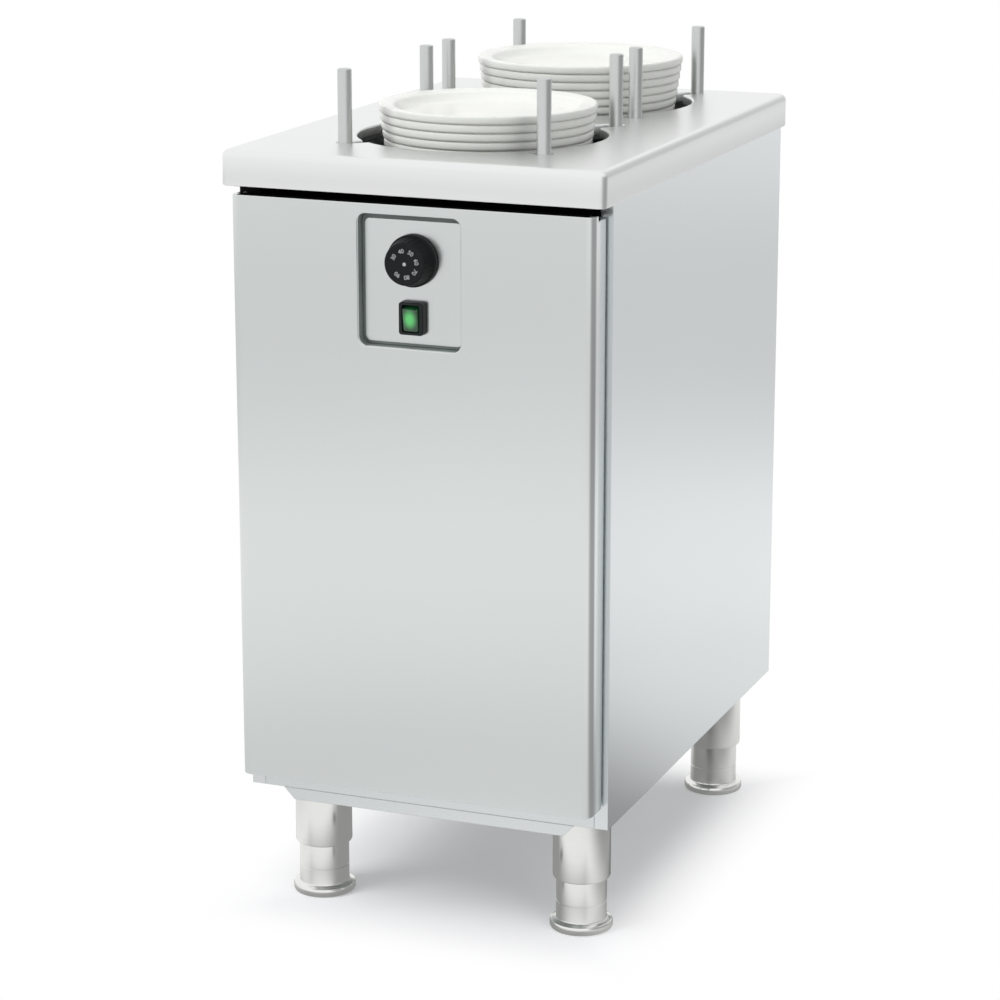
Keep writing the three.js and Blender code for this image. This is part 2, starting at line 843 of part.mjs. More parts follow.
function carriageDisc(stack, y) {
  const z = discHeight(stack);
  const r = carriage.discRadius;
  const piece = mesh(`carriage_disc_${stack.name}`, turned([
    [0, z - sheet],
    [r - sheet, z - sheet],
    [r - sheet, z - carriage.discRim],
    [r, z - carriage.discRim],
    [r, z - 1],
    [r - 1, z],
    [0, z],
  ], sides.tube), brushed());
  piece.position.set(0, y, 0);
  return piece;
}

// Four arms from the column to the rods, each with a bush that slides on its rod.
function spider(z) {
  const reach = rodCircle;
  const bushRadius = rod.radius + running + carriage.bushWall;
  let shape = null;
  for (const turn of [45, 135]) {
    const arm = new THREE.BoxGeometry(2 * reach, carriage.armWidth, carriage.armThickness);
    arm.rotateZ(THREE.MathUtils.degToRad(turn));
    arm.translate(0, 0, z);
    shape = shape ? join(shape, solid(arm)) : solid(arm);
  }
  const half = carriage.bushLength / 2;
  for (const [x, y] of rodPlaces([0])) shape = join(shape, post(x, y, z - half, z + half, bushRadius, sides.pin));
  for (const [x, y] of rodPlaces([0])) {
    shape = cut(shape, post(x, y, z - half - 1, z + half + 1, rod.radius + running, sides.rod));
  }
  return shape;
}

function springArmZ(stack) {
  return discHeight(stack) - sheet - seat - carriage.length + carriage.bushLength / 2;
}

function carriageFrame(stack, y) {
  const high = discHeight(stack) - sheet - seat;
  const low = high - carriage.length;
  const armZ = springArmZ(stack);
  const column = post(0, 0, low, high, carriage.columnRadius, sides.tube);
  const bore = post(0, 0, low - 1, high + 1, carriage.columnRadius - carriage.columnWall, sides.tube);
  const half = carriage.armThickness / 2;
  const end = springReach + carriage.armWidth / 2;
  const springArm = block([-end, -carriage.armWidth / 2, armZ - half], [end, carriage.armWidth / 2, armZ + half]);
  let shape = join(column, spider(armZ), spider(high - carriage.upperSpider), springArm);
  shape = cut(shape, bore);
  for (const side of [-1, 1]) {
    shape = cut(shape, post(side * springReach, 0, armZ - 2 * half, armZ + 2 * half, spring.eye, 6));
  }
  const piece = mesh(`carriage_frame_${stack.name}`, shape, dull());
  piece.position.set(0, y, 0);
  return piece;
}

function carriageSprings(stack, y) {
  const group = new THREE.Group();
  const low = springArmZ(stack) + carriage.armThickness / 2 + seat;
  const high = guideZ - seat;
  for (const [label, side] of [['left', -1], ['right', 1]]) {
    const coil = post(0, 0, low, high, spring.radius, sides.pin);
    const piece = mesh(`spring_${stack.name}_${label}`, coil, sprung());
    piece.position.set(side * springReach, y, 0);
    group.add(piece);
  }
  return group;
}

// Flat middle on a foot ring, a slope up to the rim, and a thick rolled edge. Each plate's foot
// stands on the flat middle of the one below, and the rims lie close above each other.
function dinnerPlate() {
  const r = plate.radius;
  const h = plate.height;
  const flat = plate.pitch - seat;
  const under = flat - plate.wall;
  const rim = r - plate.rim;
  return turned([
    [0, under],
    [plate.foot - 5, under],
    [plate.foot - 4, 0],
    [plate.foot, 0],
    [rim - 2, h - plate.edge - 2.4],
    [r, h - plate.edge],
    [r - 1, h],
    [rim, h - 2.1],
    [rim - 5, h - 6.5],
    [rim - plate.slope, flat],
    [0, flat],
  ], sides.plate);
}

function plateStack(stack, y) {
  const group = new THREE.Group();
  const shape = dinnerPlate();
  for (let index = 0; index < stack.count; index += 1) {
    const piece = mesh(`plate_${stack.name}_${index + 1}`, shape, porcelain());
    piece.position.set(plate.shift, y, discHeight(stack) + seat + index * plate.pitch);
    group.add(piece);
  }
  return group;
}

// ---------------------------------------------------------------- heater

// One tube, bent back and forth on the floor tray between the wells.
function heatingElement() {
  const y0 = (frontWellY + rearWellY) / 2 - (heater.spacing * (heater.runs - 1)) / 2;
  const z = floorZ + heater.height;
  const path = new THREE.CurvePath();
  const half = heater.run / 2;
  const bend = heater.spacing / 2;
  const point = (x, y) => new THREE.Vector3(x, y, z);
  for (let run = 0; run < heater.runs; run += 1) {
    const y = y0 + run * heater.spacing;
    const side = run % 2 === 0 ? 1 : -1;
    path.add(new THREE.LineCurve3(point(-side * half, y), point(side * half, y)));
    if (run < heater.runs - 1) {
      const handle = bend * 0.5523;
      const mid = point(side * (half + bend), y + bend);
      path.add(new THREE.CubicBezierCurve3(point(side * half, y), point(side * (half + handle), y),
        point(side * (half + bend), y + bend - handle), mid));
      path.add(new THREE.CubicBezierCurve3(mid, point(side * (half + bend), y + bend + handle),
        point(side * (half + handle), y + heater.spacing), point(side * half, y + heater.spacing)));
    }
  }
  const section = new THREE.Shape();
  section.absarc(0, 0, heater.tube, 0, Math.PI * 2);
  const tube = new THREE.ExtrudeGeometry(section, {
    steps: 30,
    bevelEnabled: false,
    curveSegments: 3,
    extrudePath: path,
  });
  let shape = solid(tube);
  for (const x of [-half / 2, half / 2]) {
    const clip = block(
      [x - 1, y0 - heater.tube, floorZ + seat],
      [x + 1, y0 + heater.spacing * (heater.runs - 1) + heater.tube, z],
    );
    shape = join(shape, clip);
  }
  return mesh('heating_element', shape, element());
}

// Folded cover with slots that lets the warm air rise.
function heaterGuard() {
  const midY = (frontWellY + rearWellY) / 2;
  const x = heater.run / 2 + heater.spacing;
  const y = (heater.spacing * (heater.runs - 1)) / 2 + heater.spacing / 2;
  const high = floorZ + heater.guardHeight;
  const outer = block([-x, midY - y, floorZ + seat], [x, midY + y, high]);
  const inner = block([-x + sheet, midY - y + sheet, floorZ - 1], [x - sheet, midY + y - sheet, high - sheet]);
  let shape = cut(outer, inner);
  const pitch = (2 * x - 2 * flange) / (heater.guardSlots - 1);
  for (let index = 0; index < heater.guardSlots; index += 1) {
    const slotX = -x + flange + index * pitch;
    const slot = block([slotX - 3, midY - y + flange, high - 2 * sheet], [slotX + 3, midY + y - flange, high + 1]);
    shape = cut(shape, slot);
  }
  return mesh('heater_guard', shape, dull());
}

// ---------------------------------------------------------------- the whole dispenser

const dispenser = new THREE.Group();
dispenser.add(
  worktop(),
  sidePanel(-1),
  sidePanel(1),
  backPanel(),
  cableGland(),
  floorTray(),
  frontApron(),
  guidePlate(),
  baseRail('base_rail_front', body.front, rail.frontDepth),
  baseRail('base_rail_rear', body.rear - rail.rearDepth, rail.rearDepth),
  guideRods(),
  legs(),
  doorShell(),
  doorLiner(),
  cutoutTrim(),
  hingeParts(),
  controlBox(),
  thermostatBody(),
  thermostatKnob(),
  switchHousing(),
  switchRocker(),
  heatingElement(),
  heaterGuard(),
);
for (const [stack, y] of [[stacks.front, frontWellY], [stacks.rear, rearWellY]]) {
  dispenser.add(
    carriageDisc(stack, y),
    carriageFrame(stack, y),
    carriageSprings(stack, y),
    plateStack(stack, y),
  );
}

export default dispenser;
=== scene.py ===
import math

import bmesh
import bpy
from mathutils import Matrix, Vector


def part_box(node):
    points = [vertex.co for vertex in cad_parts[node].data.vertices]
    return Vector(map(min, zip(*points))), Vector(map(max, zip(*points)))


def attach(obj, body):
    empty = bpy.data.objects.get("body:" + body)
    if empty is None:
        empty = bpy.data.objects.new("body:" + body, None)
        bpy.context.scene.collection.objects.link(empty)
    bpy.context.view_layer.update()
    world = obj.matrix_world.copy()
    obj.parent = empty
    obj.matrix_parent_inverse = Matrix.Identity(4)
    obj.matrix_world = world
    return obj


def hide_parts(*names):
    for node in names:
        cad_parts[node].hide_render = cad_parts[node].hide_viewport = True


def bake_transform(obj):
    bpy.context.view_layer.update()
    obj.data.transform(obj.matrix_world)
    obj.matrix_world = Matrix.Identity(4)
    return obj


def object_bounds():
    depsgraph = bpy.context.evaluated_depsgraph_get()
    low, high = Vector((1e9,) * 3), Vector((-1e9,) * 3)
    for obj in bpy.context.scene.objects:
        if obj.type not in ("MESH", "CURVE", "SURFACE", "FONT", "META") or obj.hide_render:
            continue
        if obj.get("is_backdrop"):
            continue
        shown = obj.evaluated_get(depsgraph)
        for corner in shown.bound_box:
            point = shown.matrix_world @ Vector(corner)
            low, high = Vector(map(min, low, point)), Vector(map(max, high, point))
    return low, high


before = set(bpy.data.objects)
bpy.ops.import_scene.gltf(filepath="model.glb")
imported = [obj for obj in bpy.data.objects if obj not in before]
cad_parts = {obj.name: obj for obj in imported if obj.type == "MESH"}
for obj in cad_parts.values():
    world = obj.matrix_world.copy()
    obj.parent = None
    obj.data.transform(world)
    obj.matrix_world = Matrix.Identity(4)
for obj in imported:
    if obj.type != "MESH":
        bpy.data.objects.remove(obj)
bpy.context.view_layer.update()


# ---------------------------------------------------------------- camera
# A long lens, to the right of the cabinet and a little above it, so that the front, the right
# side and the top all show.

camera_place = (1.3265, -3.4657, 1.4201)
looks_down, turned_left = 0.2584, 0.3721
sensor_width, lens_share = 36.0, 3.1776

camera_data = bpy.data.cameras.new("camera")
camera_data.sensor_width = sensor_width
camera_data.lens = sensor_width * lens_share
camera_data.clip_end = 50.0
camera = bpy.data.objects.new("camera", camera_data)
camera.location = camera_place
camera.rotation_euler = (math.pi / 2 - looks_down, 0.0, turned_left)
bpy.context.collection.objects.link(camera)
bpy.context.scene.camera = camera


# ---------------------------------------------------------------- studio
# A white floor and surround with three soft lamps. Under the cabinet the floor is paint that takes
# its shadow. What the metal mirrors of the floor is a painted reflection that glows without a lamp:
# brightest about two metres out, darker to the right as in a room with its windows on the left, and
# painted darker under the cabinet as painted shade.

def node_tree(owner):
    owner.use_nodes = True
    tree = owner.node_tree
    tree.nodes.clear()
    return tree


def add_node(tree, kind, **values):
    node = tree.nodes.new(kind)
    for name, value in values.items():
        setattr(node, name, value)
    return node


def feed(tree, node, *values):
    for socket, value in zip(node.inputs, values):
        if isinstance(value, bpy.types.NodeSocket):
            tree.links.new(value, socket)
        else:
            socket.default_value = value
    return node.outputs[0] if node.outputs else None


def add_math(tree, operation, *values):
    return feed(tree, add_node(tree, "ShaderNodeMath", operation=operation), *values)


def soft_step(tree, value, start, end, low=0.0, high=1.0):
    node = add_node(tree, "ShaderNodeMapRange", interpolation_type="SMOOTHSTEP")
    return feed(tree, node, value, start, end, low, high)


def toward_right(tree, direction):
    """How far a direction on the level points to the cabinet's right: 1 at +X, 0 straight ahead."""
    flat = add_node(tree, "ShaderNodeVectorMath", operation="MULTIPLY")
    feed(tree, flat, direction, (1.0, 1.0, 0.0))
    unit = add_node(tree, "ShaderNodeVectorMath", operation="NORMALIZE")
    feed(tree, unit, flat.outputs[0])
    split = add_node(tree, "ShaderNodeSeparateXYZ")
    return feed(tree, split, unit.outputs[0])


def emission(tree, kind, strength, colour=(1.0, 1.0, 1.0, 1.0)):
    return feed(tree, add_node(tree, kind), colour, strength)


def mix_shaders(tree, factor, first, second):
    return feed(tree, add_node(tree, "ShaderNodeMixShader"), factor, first, second)


world = bpy.data.worlds.new("surround")
bpy.context.scene.world = world
tree = node_tree(world)
rays = add_node(tree, "ShaderNodeLightPath").outputs
shown = add_math(tree, "MAXIMUM", rays["Is Camera Ray"], rays["Is Transmission Ray"])
mirrored = add_math(tree, "MAXIMUM", shown, rays["Is Glossy Ray"])
direction = add_node(tree, "ShaderNodeTexCoord").outputs["Generated"]
split = add_node(tree, "ShaderNodeSeparateXYZ")
feed(tree, split, direction)
dim = soft_step(tree, toward_right(tree, direction), 0.62, 0.96, 1.0, 0.40)
overhead = soft_step(tree, split.outputs[2], 0.15, 0.6)
behind = add_math(tree, "MULTIPLY", soft_step(tree, split.outputs[1], 0.3, 0.8),
                  soft_step(tree, split.outputs[0], 0.0, 0.25))
room = add_math(tree, "SUBTRACT", add_math(tree, "MAXIMUM", dim, overhead),
                add_math(tree, "MULTIPLY", behind, 0.38))
bright = add_math(tree, "MAXIMUM", shown, room)
ambient = emission(tree, "ShaderNodeBackground", 0.42, (0.97, 0.98, 1.0, 1.0))
white = emission(tree, "ShaderNodeBackground", bright)
feed(tree, add_node(tree, "ShaderNodeOutputWorld"), mix_shaders(tree, mirrored, ambient, white))

work = bmesh.new()
bmesh.ops.create_grid(work, x_segments=1, y_segments=1, size=9.0)
floor_mesh = bpy.data.meshes.new("floor")
work.to_mesh(floor_mesh)
work.free()
floor = bpy.data.objects.new("floor", floor_mesh)
bpy.context.collection.objects.link(floor)
floor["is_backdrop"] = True
floor_paint = bpy.data.materials.new("floor_white")
tree = node_tree(floor_paint)
rays = add_node(tree, "ShaderNodeLightPath").outputs
shown = add_math(tree, "MAXIMUM", rays["Is Camera Ray"], rays["Is Transmission Ray"])
place = add_node(tree, "ShaderNodeTexCoord").outputs["Object"]
split = add_node(tree, "ShaderNodeSeparateXYZ")
feed(tree, split, place)
beside = soft_step(tree, add_math(tree, "ABSOLUTE", split.outputs[0]), 0.15, 0.29)
beyond = soft_step(tree, add_math(tree, "ABSOLUTE", split.outputs[1]), 0.24, 0.39)
clear = add_math(tree, "MAXIMUM", beside, beyond)
ahead = add_node(tree, "ShaderNodeVectorMath", operation="DISTANCE")
feed(tree, ahead, place, (0.0, -0.3, 0.0))
ramp = add_node(tree, "ShaderNodeValToRGB")
ramp.color_ramp.interpolation = "EASE"

# Painted reflection: how bright the metal sees the floor, at so many metres from the middle of the door.
ramp_reach = 8.0
brightness_at = [
    (0.01, 0.96), (0.28, 0.94), (0.56, 0.77), (0.75, 0.77), (1.12, 0.90), (1.67, 1.0), (2.1, 0.99),
    (2.5, 0.86), (3.1, 0.73), (4.4, 0.71), (7.2, 1.0),
]
for metres, grey in brightness_at:
    stop = ramp.color_ramp.elements.new(metres / ramp_reach)
    stop.color = (grey, grey, grey, 1.0)
feed(tree, ramp, add_math(tree, "DIVIDE", ahead.outputs["Value"], ramp_reach))

# Painted shade in the reflection: the floor the metal sees is darker to the right, and under the cabinet it
# drops to about a third.
dim = soft_step(tree, toward_right(tree, place), 0.62, 0.96, 1.0, 0.45)
painted_shade_under = add_math(tree, "ADD", add_math(tree, "MULTIPLY", clear, 0.65), 0.35)
painted_reflection = add_math(tree, "MULTIPLY", add_math(tree, "MULTIPLY", ramp.outputs[0], dim), painted_shade_under)
paint = feed(tree, add_node(tree, "ShaderNodeBsdfDiffuse"), (0.80, 0.80, 0.82, 1.0))
lift = emission(tree, "ShaderNodeEmission", add_math(tree, "MULTIPLY", shown, 0.22))
shaded = feed(tree, add_node(tree, "ShaderNodeAddShader"), paint, lift)
seen = add_math(tree, "ADD", shown, add_math(tree, "MULTIPLY", rays["Is Glossy Ray"], painted_reflection))
glow = emission(tree, "ShaderNodeEmission", seen)
plain_white = add_math(tree, "ADD", rays["Is Glossy Ray"], add_math(tree, "MULTIPLY", shown, clear))
feed(tree, add_node(tree, "ShaderNodeOutputMaterial"), mix_shaders(tree, plain_white, shaded, glow))
floor_mesh.materials.append(floor_paint)


def softbox(name, place, target, size, power):
    lamp = bpy.data.lights.new(name, "AREA")
    lamp.shape = "SQUARE"
    lamp.size = size
    lamp.energy = power
    holder = bpy.data.objects.new(name, lamp)
    holder.location = place
    aim = Vector(target) - Vector(place)
    holder.rotation_euler = aim.to_track_quat("-Z", "Y").to_euler()
    holder.visible_glossy = False
    bpy.context.collection.objects.link(holder)


softbox("key_lamp", (-2.2, -2.4, 3.0), (0.0, 0.0, 0.4), 1.8, 90.0)
softbox("fill_lamp", (2.8, -2.0, 1.8), (0.0, 0.0, 0.5), 2.0, 26.0)
softbox("top_lamp", (0.2, 0.5, 3.2), (0.0, 0.0, 0.6), 2.2, 30.0)


# ---------------------------------------------------------------- cabinet sheets
# Folded stainless sheet, ground to a fine grain: short streaks in one direction, a slightly uneven
# tone, and soft folds.

def coordinates(tree):
    return add_node(tree, "ShaderNodeTexCoord").outputs["Object"]


def stretched(tree, scale):
    mapping = add_node(tree, "ShaderNodeMapping")
    mapping.inputs["Scale"].default_value = scale
    tree.links.new(coordinates(tree), mapping.inputs["Vector"])
    return mapping.outputs[0]


def noise(tree, vector, scale, detail):
    node = add_node(tree, "ShaderNodeTexNoise")
    node.inputs["Scale"].default_value = scale
    node.inputs["Detail"].default_value = detail
    tree.links.new(vector, node.inputs["Vector"])
    return node.outputs["Fac"]


def between(tree, value, low, high):
    """Goes from low to high as the value goes from 0.3 to 0.7."""
    return feed(tree, add_node(tree, "ShaderNodeMapRange"), value, 0.3, 0.7, low, high)


def two_tones(tree, value, tone, contrast):
    """The tone, darker and lighter by this share as the value goes from 0.3 to 0.7."""
    node = add_node(tree, "ShaderNodeValToRGB")
    for element, position, sign in zip(node.color_ramp.elements, (0.3, 0.7), (-1, 1)):
        element.position = position
        element.color = (*(part * (1 + sign * contrast) for part in tone), 1.0)
    return feed(tree, node, value)


def new_finish(name, metallic=0.0, roughness=0.5, specular=0.5):
    material = bpy.data.materials.new(name)
    tree = node_tree(material)
    shader = add_node(tree, "ShaderNodeBsdfPrincipled")
    shader.inputs["Metallic"].default_value = metallic
    shader.inputs["Roughness"].default_value = roughness
    shader.inputs["Specular IOR Level"].default_value = specular
    feed(tree, add_node(tree, "ShaderNodeOutputMaterial"), shader.outputs[0])
    return material, tree, shader


def relief(tree, shader, height, depth, strength=1.0, edge=None):
    """Bump from a height, and soft edges on the plain CAD sheets."""
    bump = add_node(tree, "ShaderNodeBump")
    bump.inputs["Strength"].default_value = strength
    bump.inputs["Distance"].default_value = depth
    tree.links.new(height, bump.inputs["Height"])
    if edge:
        bevel = add_node(tree, "ShaderNodeBevel", samples=4)
        bevel.inputs["Radius"].default_value = edge
        tree.links.new(bevel.outputs[0], bump.inputs["Normal"])
    tree.links.new(bump.outputs[0], shader.inputs["Normal"])


def ground_steel(name, grain, tone, rough, edge=0.0012):
    """grain is the direction of the streaks, 0 to 2 for X, Y or Z."""
    material, tree, shader = new_finish(name, metallic=1.0)
    scale = [1500.0, 1500.0, 1500.0]
    scale[grain] = 14.0
    streaks = noise(tree, stretched(tree, scale), 1.0, 2.0)
    cloud = noise(tree, stretched(tree, (2.6, 2.6, 1.9)), 1.0, 1.0)
    mixed = add_math(tree, "ADD", add_math(tree, "MULTIPLY", streaks, 0.45),
                     add_math(tree, "MULTIPLY", cloud, 0.55))
    tree.links.new(two_tones(tree, mixed, tone, 0.012), shader.inputs["Base Color"])
    tree.links.new(between(tree, streaks, rough * 0.95, rough * 1.05), shader.inputs["Roughness"])
    relief(tree, shader, streaks, 0.00001, 0.2, edge)
    return material


def dress(material, *names):
    for name in names:
        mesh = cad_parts[name].data
        mesh.materials.clear()
        mesh.materials.append(material)


# Copies of one steel in several tones. The base rails are painted a little darker, painted shade low down
# under the door, and the inner steel of the apron, guide plate and discs is painted much darker, painted
# shade inside the cabinet.
side_steel = ground_steel("side_steel", 2, (0.765, 0.795, 0.805), 0.26)
rail_steel_painted_shade = ground_steel("rail_steel_painted_shade", 0, (0.735, 0.76, 0.765), 0.28)
door_steel = ground_steel("door_steel", 2, (0.745, 0.775, 0.77), 0.21)
inner_steel_painted_shade = ground_steel("inner_steel_painted_shade", 0, (0.56, 0.58, 0.58), 0.36)
dress(side_steel, "side_panel_left", "side_panel_right", "back_panel")
dress(rail_steel_painted_shade, "base_rail_front", "base_rail_rear", "floor_tray")
dress(door_steel, "door_liner", "control_box")
dress(inner_steel_painted_shade, "front_apron", "guide_plate")


# ---------------------------------------------------------------- rivets
# Pop rivets down both edges of the back panel hold it to the side panels.

def turn_profile(work, profile, centre, sides, turn=None):
    """Turns (radius, height) points round an upright axis, then tilts them and sets them in place."""
    before = set(work.verts)
    points = [work.verts.new((radius, 0.0, height)) for radius, height in profile]
    edges = [work.edges.new(pair) for pair in zip(points, points[1:])]
    bmesh.ops.spin(work, geom=points + edges, cent=(0, 0, 0), axis=(0, 0, 1),
                   angle=2 * math.pi, steps=sides, use_merge=True)
    made = [v for v in work.verts if v not in before]
    bmesh.ops.remove_doubles(work, verts=made, dist=1e-6)
    made = [v for v in work.verts if v not in before]
    place = Matrix.Translation(centre) @ (turn or Matrix.Identity(4))
    bmesh.ops.transform(work, matrix=place, verts=made)
    return made


def finish_piece(name, work, material, slot, body, *replaced, smooth=35.0):
    bmesh.ops.recalc_face_normals(work, faces=work.faces)
    mesh = bpy.data.meshes.new(name)
    work.to_mesh(mesh)
    work.free()
    mesh.shade_smooth()
    mesh.set_sharp_from_angle(angle=math.radians(smooth))
    mesh.materials.append(material)
    piece = bpy.data.objects.new(name, mesh)
    bpy.context.collection.objects.link(piece)
    if replaced:
        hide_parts(*replaced)
    if body:
        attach(piece, body)
    return piece


FACE_FRONT = Matrix.Rotation(math.pi / 2, 4, "X")
FACE_BACK = Matrix.Rotation(-math.pi / 2, 4, "X")

back_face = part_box("back_panel")[1][1]
rivet_x, first_rivet, rivet_pitch = 0.190, 0.170, 0.112
work = bmesh.new()
for side in (-1, 1):
    for row in range(7):
        spot = (side * rivet_x, back_face, first_rivet + row * rivet_pitch)
        turn_profile(work, [
            (0.0, -0.0006), (0.0034, -0.0006), (0.0036, 0.0002), (0.0030, 0.0008), (0.0019, 0.0013),
            (0.0012, 0.0014), (0.0010, 0.0011), (0.0010, 0.0006), (0.0, 0.0006),
        ], spot, 20, FACE_BACK)
finish_piece("back_rivets", work, side_steel, "brushed_stainless", "cabinet")


# ---------------------------------------------------------------- worktop
# One sheet with a rounded nose and a skirt that leans back a little. The rim of each opening is
# drawn down into a collar, with four slots for the rods.

def loft(work, outlines, closed=False):
    """Skins outlines of equally many points in turn, and returns the first and the last edges."""
    corners = [work.verts.new(point) for point in outlines[0]]
    first = edges = [work.edges.new(pair) for pair in zip(corners, corners[1:] + corners[:1])]
    for points in outlines[1:] + (outlines[:1] if closed else []):
        made = bmesh.ops.extrude_edge_only(work, edges=edges)["geom"]
        fresh = {v for v in made if isinstance(v, bmesh.types.BMVert)}
        corners = [next(e.other_vert(v) for e in v.link_edges if e.other_vert(v) in fresh) for v in corners]
        for corner, point in zip(corners, points):
            corner.co = point
        edges = [e for e in made if isinstance(e, bmesh.types.BMEdge) and fresh.issuperset(e.verts)]
    if closed:
        bmesh.ops.remove_doubles(work, verts=work.verts, dist=1e-7)
    return first, edges


def rounded(low, high, radius):
    """Points round a rectangle between two corners, whose own corners are rounded."""
    steps = 6
    points = []
    for right, up in ((1, 1), (-1, 1), (-1, -1), (1, -1)):
        centre_x = high[0] - radius if right > 0 else low[0] + radius
        centre_y = high[1] - radius if up > 0 else low[1] + radius
        start = math.atan2(up, right) - math.pi / 4
        for i in range(steps + 1):
            angle = start + math.pi / 2 * i / steps
            points.append((centre_x + radius * math.cos(angle), centre_y + radius * math.sin(angle)))
    return points


WELLS = {"front": -0.120, "rear": 0.186}
ROD_ANGLES = [math.pi / 4 + quarter * math.pi / 2 for quarter in range(4)]
well_radius, slot_half, rod_reach = 0.143, 0.010, 0.1675
top_low, top_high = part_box("worktop")
top_z, skirt_z, sheet = top_high[2], top_low[2], 0.0012
nose, corner, lean = 0.0080, 0.0095, 0.0012
side_return, front_return = 0.018, 0.040
rounding, collar = 0.0026, 0.0115


def opening(grow, centre_y):
    """Outline of a plate opening and its four rod slots, made larger all round by `grow`."""
    radius, slot = well_radius + grow, slot_half + grow
    turn = math.asin(slot / radius)
    points = []
    for aim in ROD_ANGLES:
        for i in range(19):
            angle = aim - math.pi / 2 + turn + (math.pi / 2 - 2 * turn) * i / 18
            points.append((radius * math.cos(angle), centre_y + radius * math.sin(angle)))
        for i in range(11):
            angle = aim - math.pi / 2 + math.pi * i / 10
            points.append((rod_reach * math.cos(aim) + slot * math.cos(angle),
                           centre_y + rod_reach * math.sin(aim) + slot * math.sin(angle)))
    return points


def at_height(points, z):
    return [(x, y, z) for x, y in points]


def skirt_outline(inset, z, front=0.0):
    """Outline of the worktop at one height. `front` moves its front edge further back."""
    low = (top_low[0] + inset, top_low[1] + inset + front)
    high = (top_high[0] - inset, top_high[1] - inset)
    return at_height(rounded(low, high, max(corner - inset, 0.0006)), z)


work = bmesh.new()
outer = [skirt_outline(nose + 0.001, top_z, lean)]
for step in range(7):
    angle = step * math.pi / 12
    outer.append(skirt_outline(nose * (1 - math.sin(angle)), top_z - nose * (1 - math.cos(angle)), lean))
outer += [
    skirt_outline(0.0, skirt_z + 0.0022, 0.0001),
    skirt_outline(0.0005, skirt_z + 0.0006),
    skirt_outline(0.0020, skirt_z),
    skirt_outline(side_return - 0.0006, skirt_z, front_return),
    skirt_outline(side_return, skirt_z + 0.0006, front_return),
    skirt_outline(side_return - 0.0006, skirt_z + sheet, front_return),
    skirt_outline(0.0026, skirt_z + sheet),
    skirt_outline(0.0013, skirt_z + 0.0028),
]
nose_inside = nose - sheet
for step in range(4):
    angle = (3 - step) * math.pi / 6
    outer.append(skirt_outline(nose - nose_inside * math.sin(angle),
                               top_z - nose + nose_inside * math.cos(angle), lean))
outer.append(skirt_outline(nose + 0.001, top_z - sheet, lean))
top_edges, under_edges = loft(work, outer)
collar_z = top_z - collar
for centre_y in WELLS.values():
    rim = [at_height(opening(rounding + 0.0008, centre_y), top_z)]
    for step in range(6):
        angle = step * math.pi / 10
        rim.append(at_height(opening(rounding * (1 - math.sin(angle)), centre_y),
                             top_z - rounding * (1 - math.cos(angle))))
    rim += [
        at_height(opening(0.0, centre_y), collar_z + 0.0003),
        at_height(opening(0.0003, centre_y), collar_z),
        at_height(opening(0.0010, centre_y), collar_z),
        at_height(opening(sheet, centre_y), collar_z + 0.0003),
        at_height(opening(sheet, centre_y), top_z - 0.0032),
        at_height(opening(sheet + 0.0016, centre_y), top_z - sheet),
    ]
    above, below = loft(work, rim)
    top_edges += above
    under_edges += below
bmesh.ops.triangle_fill(work, use_beauty=True, edges=top_edges)
bmesh.ops.triangle_fill(work, use_beauty=True, edges=under_edges)
# The worktop's steel is painted lighter than the sides and door, a painted highlight on the top and its
# nose.
top_steel_painted_light = ground_steel("top_steel_painted_light", 0, (0.865, 0.875, 0.87), 0.33)
finish_piece("worktop_sheet", work, top_steel_painted_light, "brushed_stainless", "cabinet", "worktop")


# ---------------------------------------------------------------- guide rods
# Polished round bars with a small chamfer at the top, four round each opening.

def polished_steel(name, tone, rough, grain=(40.0, 40.0, 900.0)):
    material, tree, shader = new_finish(name, metallic=1.0)
    rubbed = noise(tree, stretched(tree, grain), 1.0, 1.0)
    tree.links.new(two_tones(tree, rubbed, tone, 0.012), shader.inputs["Base Color"])
    tree.links.new(between(tree, rubbed, rough * 0.95, rough * 1.05), shader.inputs["Roughness"])
    return material


def middle(node):
    low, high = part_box(node)
    return (Vector(low) + Vector(high)) / 2


rod_steel = polished_steel("rod_steel", (0.63, 0.645, 0.64), 0.38)
rod_radius = 0.008
for well in WELLS:
    for number in range(1, 5):
        node = f"guide_rod_{well}_{number}"
        low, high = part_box(node)
        centre = middle(node)
        work = bmesh.new()
        turn_profile(work, [
            (0.0, low[2]), (rod_radius, low[2]), (rod_radius, high[2] - 0.0014),
            (rod_radius - 0.0003, high[2] - 0.0006), (rod_radius - 0.0012, high[2]), (0.0, high[2]),
        ], (centre.x, centre.y, 0.0), 40)
        finish_piece(f"rod_{well}_{number}", work, rod_steel, "polished_stainless", "cabinet", node)


# ---------------------------------------------------------------- legs
# Each leg is a wide sleeve under the cabinet, rolled in at its lower end, and a foot tube that
# screws up into it and ends in a round flange.

def block(work, low, high, edge=0.0006, turn=None):
    size = Vector(high) - Vector(low)
    place = Matrix.Translation((Vector(low) + Vector(high)) / 2) @ Matrix.Diagonal((*size, 1.0))
    made = bmesh.ops.create_cube(work, size=1.0, matrix=(turn or Matrix.Identity(4)) @ place)["verts"]
    edges = list({e for v in made for e in v.link_edges})
    bmesh.ops.bevel(work, geom=edges, offset=edge, segments=2, affect="EDGES", profile=0.5, material=-1)


